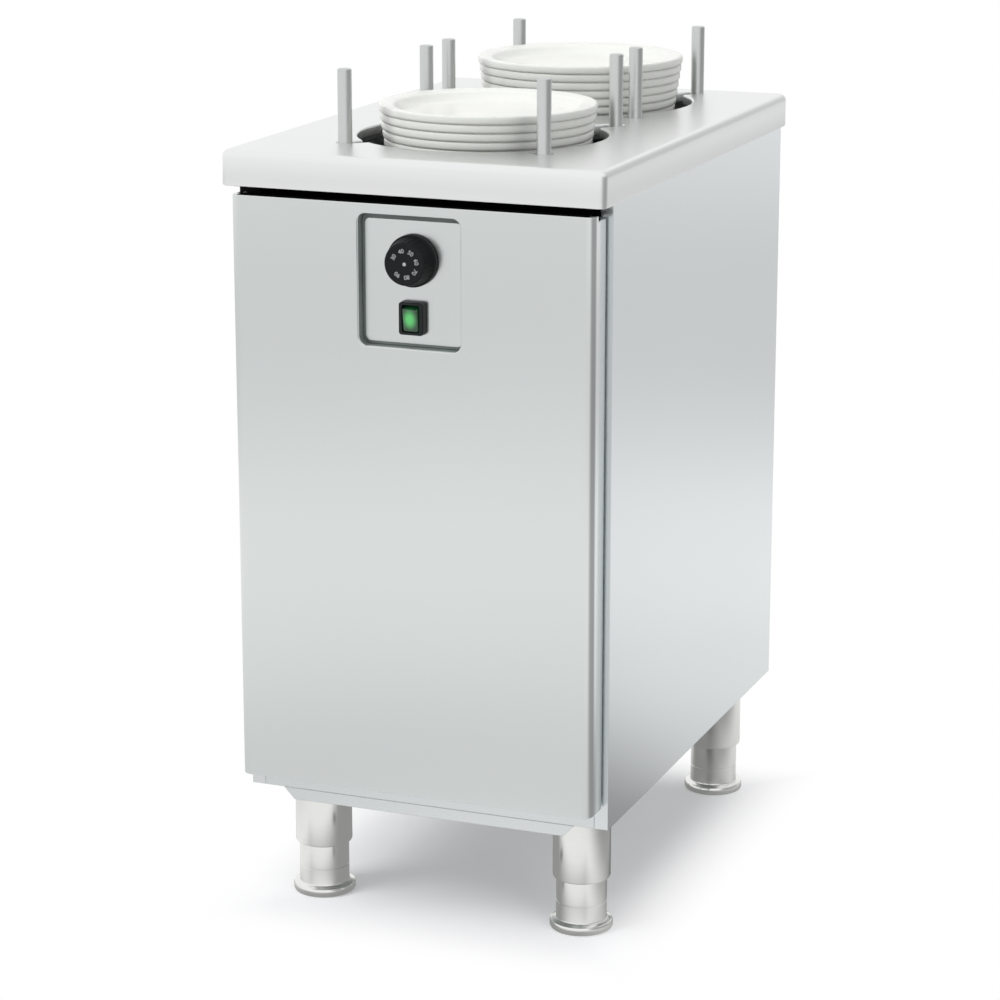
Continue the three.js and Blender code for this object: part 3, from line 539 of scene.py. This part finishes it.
leg_steel = polished_steel("leg_steel", (0.83, 0.835, 0.81), 0.17)
sleeve, sleeve_mouth, wall, head_plate = 0.0335, 0.0298, 0.002, 0.003
tube, flange = 0.0294, 0.0368
for place in ("front_left", "front_right", "rear_left", "rear_right"):
    node = f"leg_sleeve_{place}"
    low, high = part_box(node)
    centre = middle(node)
    bottom, head, half = low[2], high[2], (high[0] - low[0]) / 2
    work = bmesh.new()
    turn_profile(work, [
        (sleeve_mouth, bottom), (sleeve - 0.0022, bottom), (sleeve - 0.0008, bottom + 0.0007),
        (sleeve, bottom + 0.0024), (sleeve, head - head_plate), (sleeve - wall, head - head_plate),
        (sleeve - wall, bottom + 0.006), (sleeve_mouth, bottom + 0.004), (sleeve_mouth, bottom),
    ], (centre.x, centre.y, 0.0), 72)
    block(work, (centre.x - half, centre.y - half, head - head_plate),
          (centre.x + half, centre.y + half, head))
    for side_x in (-1, 1):
        for side_y in (-1, 1):
            bolt = (centre.x + side_x * (half - 0.0066), centre.y + side_y * (half - 0.0066), 0.0)
            turn_profile(work, [
                (0.0, head - 0.0072), (0.0048, head - 0.0072), (0.0056, head - 0.0064),
                (0.0056, head - 0.0032), (0.0, head - 0.0032),
            ], bolt, 6)
    finish_piece(f"sleeve_{place}", work, leg_steel, "polished_stainless", "cabinet", node)

    node = f"leg_foot_{place}"
    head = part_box(node)[1][2]
    centre = middle(node)
    work = bmesh.new()
    turn_profile(work, [
        (0.0, 0.0), (flange - 0.003, 0.0), (flange - 0.001, 0.0009), (flange, 0.003),
        (flange, 0.0078), (flange - 0.0009, 0.0098), (flange - 0.0028, 0.0108),
        (tube + 0.0016, 0.0116), (tube + 0.0004, 0.0124), (tube, 0.0138),
        (tube, 0.0322), (tube - 0.0005, 0.0326), (tube - 0.0005, 0.0334), (tube, 0.0338),
        (tube, head - 0.001), (tube - 0.001, head), (tube - wall, head),
        (tube - wall, 0.013), (0.0, 0.012),
    ], (centre.x, centre.y, 0.0), 72)
    finish_piece(f"foot_{place}_turned", work, leg_steel, "polished_stainless", f"foot_{place}", node)


# ---------------------------------------------------------------- door
# A pan of sheet folded back round its edge, with wide soft folds down both sides, a low lip along
# the top for the fingers, and a cut-out with rounded corners for the controls, lined in dark grey
# that paints the shade in the recess.

door_low, door_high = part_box("door_shell")
face, back = door_low[1], door_high[1]
fold, hem, rim_depth = 0.0105, 0.0125, 0.0045
lip_height, lip_depth = 0.006, 0.013
window_low, window_high, window_corner = (-0.061, 0.693), (0.061, 0.840), 0.010
strip_inset = 0.0090


def upright(low, high, y, radius):
    return [(x, y, z) for x, z in rounded(low, high, radius)]


def pan_outline(inset_x, inset_z, y, lift=0.0):
    low = (door_low[0] + inset_x, door_low[2] + inset_z)
    high = (door_high[0] - inset_x, door_high[2] - inset_z + lift)
    return upright(low, high, y, 0.0012)


def window_outline(grow, y):
    low = (window_low[0] - grow, window_low[1] - grow)
    high = (window_high[0] + grow, window_high[1] + grow)
    return upright(low, high, y, window_corner + grow)


work = bmesh.new()
inner = [pan_outline(fold + 0.0008, 0.0022, face + sheet, lip_height)]
for step in range(7):
    angle = (6 - step) * math.pi / 12
    inner.append(pan_outline(fold - (fold - sheet) * math.cos(angle), 0.0020,
                             face + fold - (fold - sheet) * math.sin(angle), lip_height))
inner += [
    pan_outline(sheet, sheet, face + lip_depth - sheet, lip_height),
    pan_outline(sheet, sheet, face + lip_depth - sheet),
    pan_outline(sheet, sheet, back - sheet),
    pan_outline(hem, hem, back - sheet),
]
outer = [
    pan_outline(hem, hem, back),
    pan_outline(0.0012, 0.0012, back),
    pan_outline(0.0003, 0.0003, back - 0.0003),
    pan_outline(0.0, 0.0, back - 0.0012),
    pan_outline(0.0, 0.0, face + lip_depth),
    pan_outline(0.0, 0.0, face + lip_depth, lip_height),
    pan_outline(0.0, 0.0, face + fold + 0.001, lip_height),
]
for step in range(13):
    angle = step * math.pi / 24
    outer.append(pan_outline(fold * (1 - math.cos(angle)), 0.0003 * (step == 12),
                             face + fold * (1 - math.sin(angle)), lip_height))
outer.append(pan_outline(fold + 0.0008, 0.0006, face, lip_height))
inner_edges, outer_edges = loft(work, inner + outer)
near_edges, far_edges = loft(work, [window_outline(grow, face + depth) for grow, depth in (
    (0.0014, 0.0), (0.0006, 0.0), (0.00015, 0.00015), (0.0, 0.0006), (0.0, rim_depth), (0.0009, rim_depth),
    (0.0012, 0.0030), (0.0024, sheet))])
bmesh.ops.triangle_fill(work, use_beauty=True, edges=outer_edges + near_edges)
bmesh.ops.triangle_fill(work, use_beauty=True, edges=inner_edges + far_edges)
finish_piece("door_pan", work, door_steel, "brushed_stainless", "door", "door_shell")


def moulded(name, tone, rough, contrast=0.15, grain=500.0, depth=0.00003, specular=0.5, edge=None,
            metallic=0.0):
    material, tree, shader = new_finish(name, metallic, rough, specular)
    speckle = noise(tree, coordinates(tree), grain, 2.0)
    tree.links.new(two_tones(tree, speckle, tone, contrast), shader.inputs["Base Color"])
    tree.links.new(between(tree, speckle, rough * 0.9, rough * 1.1), shader.inputs["Roughness"])
    relief(tree, shader, speckle, depth, 1.0, edge)
    return material


# Dark grey lining of the cut-out and seal round the panel: painted shade in the recess.
recess_shade_grey = moulded("grey_edging_painted_shade", (0.185, 0.212, 0.198), 0.6, 0.06)
work = bmesh.new()
sleeve_y = [face + rim_depth + 0.0002, back - 0.0018]
loft(work, [window_outline(grow, y) for grow, y in (
    (0.0, sleeve_y[0]), (0.0, sleeve_y[1]), (0.0018, sleeve_y[1]), (0.0018, sleeve_y[0]))], closed=True)
finish_piece("cutout_sleeve", work, recess_shade_grey, "dark_edging", "door", "cutout_trim")

black = moulded("black_moulding", (0.011, 0.013, 0.014), 0.48, 0.12, specular=0.25)
# Near-black strips on the door's top edge and in the gap above it: painted shade under the worktop's
# overhang. The one on the door also stands for a rubber grip strip.
shade_black = moulded("black_painted_shade", (0.004, 0.004, 0.004), 0.9, 0.1, specular=0.0)
work = bmesh.new()
lip_top = door_high[2] + lip_height
strip_left, strip_right = door_low[0] + strip_inset, door_high[0] - strip_inset
block(work, (strip_left, face + 0.0006, lip_top + 0.0001),
      (strip_right, face + lip_depth, lip_top + 0.0008), 0.0002)
block(work, (strip_left, face + lip_depth + 0.0002, door_high[2] + 0.0001),
      (strip_right, back - 0.0004, door_high[2] + 0.0010), 0.0003)
finish_piece("door_top_strip", work, shade_black, "dark_edging", "door")

# A black block in the gap over the door, painted shadow where the worktop overhangs the door.
gap_low, gap_high = (-0.2190, -0.2990, 0.8455), (0.2060, -0.2982, 0.8563)
work = bmesh.new()
block(work, gap_low, gap_high, 0.0002)
finish_piece("gap_painted_shade", work, shade_black, "dark_edging", "cabinet")


# ---------------------------------------------------------------- hinges
# Zinc-plated pins in folded brackets of blackened steel, above and below the door.

zinc = moulded("zinc", (0.52, 0.53, 0.52), 0.42, 0.06, 120.0, 0.00004, edge=0.0006, metallic=1.0)
dress(zinc, "hinge_pin_top", "hinge_pin_bottom", "heater_guard")
blackened = moulded("blackened", (0.005, 0.005, 0.005), 0.6, 0.1, specular=0.1, edge=0.0006)
dress(blackened, "hinge_bracket_top", "hinge_bracket_bottom")


# ---------------------------------------------------------------- control panel
# The panel stands in the door's cut-out with a dark seal round it, painted shade at the edge of the
# recess. The thermostat knob is black, ribbed and tapered, with light numbers on its face, and the
# rocker switch has a lit green lens in a black frame.

box_low, box_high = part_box("control_box")
work = bmesh.new()
seal_gap = 0.0007
inner_low, inner_high = (box_low[0], box_low[2]), (box_high[0], box_high[2])
outer_low = (window_low[0] + seal_gap, window_low[1] + seal_gap)
outer_high = (window_high[0] - seal_gap, window_high[1] - seal_gap)
front_y, rear_y = box_low[1] + 0.0004, box_low[1] + 0.006
loft(work, [
    upright(inner_low, inner_high, front_y, 0.0068), upright(outer_low, outer_high, front_y, 0.0093),
    upright(outer_low, outer_high, rear_y, 0.0093), upright(inner_low, inner_high, rear_y, 0.0068),
], closed=True)
finish_piece("panel_shade_seal", work, recess_shade_grey, "dark_edging", "cabinet")

knob_centre = Vector((0.0, -0.327, 0.789))
knob_sides, sides_per_rib, rib_depth = 96, 4, 0.0006
work = bmesh.new()
wall = turn_profile(work, [
    (0.0, 0.0), (0.0282, 0.0), (0.0288, 0.0003), (0.0290, 0.0010), (0.0290, 0.0044), (0.0287, 0.0050),
    (0.0274, 0.0056), (0.0269, 0.0066), (0.0240, 0.0228), (0.0234, 0.0242), (0.0224, 0.0248),
    (0.0205, 0.0250), (0.0198, 0.0248), (0.0194, 0.0245), (0.0, 0.0245),
], knob_centre, knob_sides, FACE_FRONT)
for point in wall:
    depth = knob_centre.y - point.co.y
    across = Vector((point.co.x, 0.0, point.co.z - knob_centre.z))
    turn = round(math.atan2(across.z, across.x) / (2 * math.pi) * knob_sides)
    if 0.006 < depth < 0.0235 and across.length > 0.020 and turn % sides_per_rib == 0:
        point.co -= across.normalized() * rib_depth
knob_black = moulded("knob_black", (0.006, 0.0068, 0.0075), 0.5, 0.1, specular=0.2)
finish_piece("knob", work, knob_black, "black_plastic", "knob", "thermostat_knob")

print_grey = moulded("dial_print", (0.46, 0.48, 0.49), 0.6, 0.08)
number_ring, number_face, number_height = 0.0142, 0.0245, 0.0068
first_number, number_pitch = 151, 46
work = bmesh.new()
for index, text in enumerate(("30", "40", "50", "60", "70", "80", "90")):
    curve = bpy.data.curves.new(f"number_{text}", "FONT")
    curve.body = text
    curve.size = number_height
    curve.extrude = 0.00008
    curve.align_x = "CENTER"
    curve.align_y = "CENTER"
    holder = bpy.data.objects.new(f"number_{text}", curve)
    bpy.context.collection.objects.link(holder)
    figures = bpy.data.meshes.new_from_object(holder.evaluated_get(bpy.context.evaluated_depsgraph_get()))
    angle = math.radians(first_number - number_pitch * index)
    spot = Vector((number_ring * math.cos(angle), number_ring * math.sin(angle), number_face))
    figures.transform(Matrix.Translation(knob_centre) @ FACE_FRONT @ Matrix.Translation(spot)
                      @ Matrix.Rotation(angle - math.pi / 2, 4, "Z"))
    work.from_mesh(figures)
    bpy.data.objects.remove(holder)
    bpy.data.curves.remove(curve)
    bpy.data.meshes.remove(figures)
bmesh.ops.remove_doubles(work, verts=work.verts, dist=1e-7)
turn_profile(work, [(0.0, 0.0242), (0.0021, 0.0242), (0.0019, 0.0248), (0.0, 0.0249)],
             knob_centre, 32, FACE_FRONT)
finish_piece("knob_numbers", work, print_grey, "black_plastic", "knob")

switch_z, frame_face, frame_roll = 0.7256, -0.3355, 0.0018
frame_half, pocket_half = (0.0148, 0.0186), (0.0102, 0.0152)
housing_half, housing_back = (0.0144, 0.016), -0.304


def frame_outline(half, inset, y, radius):
    low = (-half[0] + inset, switch_z - half[1] + inset)
    high = (half[0] - inset, switch_z + half[1] - inset)
    return upright(low, high, y, radius)


work = bmesh.new()
rings = [
    frame_outline(frame_half, 0.0, box_low[1] - 0.0002, 0.004),
    frame_outline(frame_half, 0.0004, frame_face + 0.0022, 0.004),
]
for step in range(1, 6):
    angle = step * math.pi / 10
    rings.append(frame_outline(frame_half, 0.0004 + frame_roll * (1 - math.cos(angle)),
                               frame_face + frame_roll * (1 - math.sin(angle)), 0.0032))
rings += [
    frame_outline(pocket_half, -0.0004, frame_face, 0.0024),
    frame_outline(pocket_half, 0.0, frame_face + 0.0005, 0.002),
    frame_outline(pocket_half, 0.0, box_low[1] + 0.004, 0.002),
    frame_outline(pocket_half, -0.002, box_low[1] + 0.004, 0.004),
    frame_outline(pocket_half, -0.002, box_low[1] - 0.0002, 0.004),
]
loft(work, rings, closed=True)
block(work, (-housing_half[0], box_low[1] + 0.0065, switch_z - housing_half[1]),
      (housing_half[0], housing_back, switch_z + housing_half[1]))
finish_piece("switch_frame", work, black, "black_plastic", "cabinet", "switch_housing")
dress(black, "thermostat_body")

lens, tree, shader = new_finish("green_lens", roughness=0.22, specular=0.6)
centred = add_node(tree, "ShaderNodeMapping")
centred.inputs["Location"].default_value = (0.0, 0.0, -switch_z)
tree.links.new(coordinates(tree), centred.inputs["Vector"])
stretch = add_node(tree, "ShaderNodeVectorMath", operation="MULTIPLY")
feed(tree, stretch, centred.outputs[0], (1.0, 0.0, 0.72))
away = add_node(tree, "ShaderNodeVectorMath", operation="LENGTH")
feed(tree, away, stretch.outputs[0])
lit = soft_step(tree, away.outputs["Value"], 0.0098, 0.0015)
# The lens's colour and its glow are bright in the middle and near black at the rim: the glow is the
# switch's own lamp, and the same gradient in its colour is a painted glow.
lens_glow_ramp = add_node(tree, "ShaderNodeValToRGB")
rim_green, middle_green = (0.004, 0.030, 0.010, 1.0), (0.060, 0.40, 0.095, 1.0)
for element, colour in zip(lens_glow_ramp.color_ramp.elements, (rim_green, middle_green)):
    element.color = colour
feed(tree, lens_glow_ramp, lit)
tree.links.new(lens_glow_ramp.outputs[0], shader.inputs["Base Color"])
tree.links.new(lens_glow_ramp.outputs[0], shader.inputs["Emission Color"])
shader.inputs["Emission Strength"].default_value = 0.42
shader.inputs["Coat Weight"].default_value = 0.6
shader.inputs["Coat Roughness"].default_value = 0.12
work = bmesh.new()
lens_half, rocker_tilt, rocker_axis_y = (0.0094, 0.0134), math.radians(8), -0.324
rings = [frame_outline(lens_half, inset, y, radius) for inset, y, radius in (
    (0.0006, -0.3200, 0.002), (0.0, -0.3206, 0.002), (0.0, -0.3345, 0.002), (0.0005, -0.3360, 0.002),
    (0.0015, -0.3370, 0.0024), (0.0032, -0.3376, 0.003), (0.0056, -0.3379, 0.003))]
for end in loft(work, rings):
    bmesh.ops.triangle_fill(work, use_beauty=True, edges=end)
pivot = Matrix.Translation((0.0, rocker_axis_y, switch_z))
tipped = pivot @ Matrix.Rotation(rocker_tilt, 4, "X") @ pivot.inverted()
bmesh.ops.transform(work, verts=work.verts, matrix=tipped)
finish_piece("rocker_lens", work, lens, "green_lens", "rocker", "switch_rocker")


# ---------------------------------------------------------------- plates
# White hotel plates: a flat middle, a slope up to a broad rim, and a thick rolled edge. They stand
# on their foot rings, with the rims close above each other. As in the photo, each is a little
# smaller than the one above it, so that the well shows dark round the stack.

glaze, tree, shader = new_finish("glazed_porcelain", roughness=0.26, specular=0.40)
cloud = noise(tree, stretched(tree, (9.0, 9.0, 30.0)), 1.0, 2.0)
tree.links.new(two_tones(tree, cloud, (0.755, 0.762, 0.722), 0.02), shader.inputs["Base Color"])
relief(tree, shader, cloud, 0.00003)
shader.inputs["Coat Weight"].default_value = 0.12
shader.inputs["Coat Roughness"].default_value = 0.14

# Radii in metres and heights in millimetres.
profile = [
    (0.0, 4.9), (0.0660, 4.9), (0.0690, 4.4), (0.0698, 0.6), (0.0706, 0.0), (0.0734, 0.0), (0.0742, 0.8),
    (0.0746, 2.6), (0.0790, 3.4), (0.0930, 4.8), (0.1000, 6.2), (0.1040, 7.6), (0.1100, 9.8),
    (0.1135, 10.9), (0.1200, 11.6), (0.1260, 12.1), (0.1284, 12.7), (0.1296, 13.8), (0.1300, 15.4),
    (0.1300, 18.6), (0.1297, 20.4), (0.1290, 21.5), (0.1278, 22.0), (0.1262, 21.9), (0.1200, 21.1),
    (0.1150, 20.4),
    (0.1130, 19.8), (0.1113, 18.7), (0.1096, 17.0), (0.1070, 14.7), (0.1040, 12.5), (0.1010, 11.1),
    (0.0975, 10.2), (0.0930, 9.7), (0.0880, 9.5), (0.0, 9.5),
]
top_share, share_step, stack_x = 0.957, 0.011, 0.0065
for well, count in (("front", 5), ("rear", 7)):
    for number in range(1, count + 1):
        node = f"plate_{well}_{number}"
        share = top_share - share_step * (count - number)
        work = bmesh.new()
        turn_profile(work, [(radius * share, height / 1000) for radius, height in profile],
                     (stack_x, WELLS[well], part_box(node)[0][2]), 96)
        finish_piece(f"china_{well}_{number}", work, glaze, "porcelain", f"carriage_{well}", node,
                     smooth=60.0)


# ---------------------------------------------------------------- carriages
# A round disc on a tube. Two crosses of arms end in bushes that slide on the rods, and a longer
# arm at the bottom takes the springs.

arm_start, arm_end, spring_arm_end = 0.0192, 0.1596, 0.164
arm_half, thick_half = 0.009, 0.003
for well, centre_y in WELLS.items():
    node = f"carriage_disc_{well}"
    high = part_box(node)[1][2]
    work = bmesh.new()
    turn_profile(work, [
        (0.0, high - 0.0015), (0.1030, high - 0.0015), (0.1036, high - 0.0022), (0.1036, high - 0.0078),
        (0.1040, high - 0.0082), (0.1046, high - 0.0082), (0.1050, high - 0.0078), (0.1050, high - 0.0020),
        (0.1046, high - 0.0008), (0.1036, high), (0.0, high),
    ], (0.0, centre_y, 0.0), 96)
    finish_piece(f"disc_{well}", work, inner_steel_painted_shade, "brushed_stainless", f"carriage_{well}", node)

    node = f"carriage_frame_{well}"
    low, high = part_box(node)[0][2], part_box(node)[1][2]
    work = bmesh.new()
    turn_profile(work, [
        (0.018, low), (0.0195, low), (0.020, low + 0.0005), (0.020, high), (0.018, high), (0.018, low),
    ], (0.0, centre_y, 0.0), 48)
    spring_arm = low + 0.014
    for height in (spring_arm, high - 0.0346):
        for angle in ROD_ANGLES:
            turn = Matrix.Translation((0.0, centre_y, height)) @ Matrix.Rotation(angle, 4, "Z")
            block(work, (arm_start, -arm_half, -thick_half), (arm_end, arm_half, thick_half), 0.001, turn)
            turn_profile(work, [
                (0.0084, -0.014), (0.0128, -0.014), (0.0134, -0.0134), (0.0134, 0.0134), (0.0128, 0.014),
                (0.0084, 0.014), (0.0084, -0.014),
            ], (0.0, 0.0, 0.0), 32, turn @ Matrix.Translation((rod_reach, 0.0, 0.0)))
    for left, right in ((-spring_arm_end, -arm_start), (arm_start, spring_arm_end)):
        block(work, (left, centre_y - arm_half, spring_arm - thick_half),
              (right, centre_y + arm_half, spring_arm + thick_half), 0.001)
    finish_piece(f"spider_{well}", work, zinc, "zinc_plated", f"carriage_{well}", node)


# ---------------------------------------------------------------- springs
# Close-wound tension springs of bright wire, hung between the guide plate and the lower arms.

spring_wire = polished_steel("spring_wire", (0.50, 0.51, 0.52), 0.28, (60.0, 60.0, 60.0))
spring_x, wire, coil_radius, turns, steps = 0.155, 0.0011, 0.0068, 44, 14
for well, centre_y in WELLS.items():
    for label, side in (("left", -1), ("right", 1)):
        node = f"spring_{well}_{label}"
        low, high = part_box(node)[0][2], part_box(node)[1][2]
        x = side * spring_x
        work = bmesh.new()
        start = Matrix.Translation((coil_radius, 0.0, low + wire)) @ FACE_FRONT
        section = bmesh.ops.create_circle(work, cap_ends=True, radius=wire, segments=6,
                                          matrix=start)["verts"]
        edges = list({e for v in section for e in v.link_edges})
        rise = (high - low - 2 * wire) / (turns * steps)
        bmesh.ops.spin(work, geom=section + edges, cent=(0, 0, 0), axis=(0, 0, 1),
                       angle=2 * math.pi * turns, dvec=(0, 0, rise), steps=turns * steps)
        bmesh.ops.holes_fill(work, edges=[e for e in work.edges if e.is_boundary])
        bmesh.ops.transform(work, matrix=Matrix.Translation((x, centre_y, 0.0)), verts=work.verts)
        piece = finish_piece(f"coil_{well}_{label}", work, spring_wire, "spring_steel", None, node,
                             smooth=80.0)
        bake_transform(piece)


# ---------------------------------------------------------------- heater and cable entry
# A bent heating tube on the floor tray under a slotted guard, and a black gland for the cable.

dress(moulded("heated_tube", (0.20, 0.17, 0.145), 0.5, 0.25, 60.0, metallic=1.0), "heating_element")

gland = middle("cable_gland")
gland_place = (gland.x, back_face, gland.z)
work = bmesh.new()
turn_profile(work, [
    (0.0, -0.0078), (0.0074, -0.0078), (0.008, -0.0072), (0.008, 0.0022), (0.0, 0.0022),
], gland_place, 40, FACE_BACK)
for near, far in ((-0.0068, -0.0018), (0.0003, 0.0073)):
    turn_profile(work, [
        (0.0, near), (0.0122, near), (0.0130, near + 0.0006),
        (0.0130, far - 0.0006), (0.0122, far), (0.0, far),
    ], gland_place, 6, FACE_BACK)
turn_profile(work, [
    (0.0, 0.0066), (0.0106, 0.0066), (0.0109, 0.0074), (0.0109, 0.0110), (0.0104, 0.0150), (0.0094, 0.0188),
    (0.0082, 0.0212), (0.0074, 0.0219), (0.0060, 0.0219), (0.0055, 0.0212), (0.0055, 0.0150), (0.0, 0.0150),
], gland_place, 48, FACE_BACK)
finish_piece("gland", work, black, "black_plastic", "cabinet", "cable_gland")


# ---------------------------------------------------------------- finish

bpy.context.scene.view_settings.view_transform = "Standard"
low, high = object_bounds()
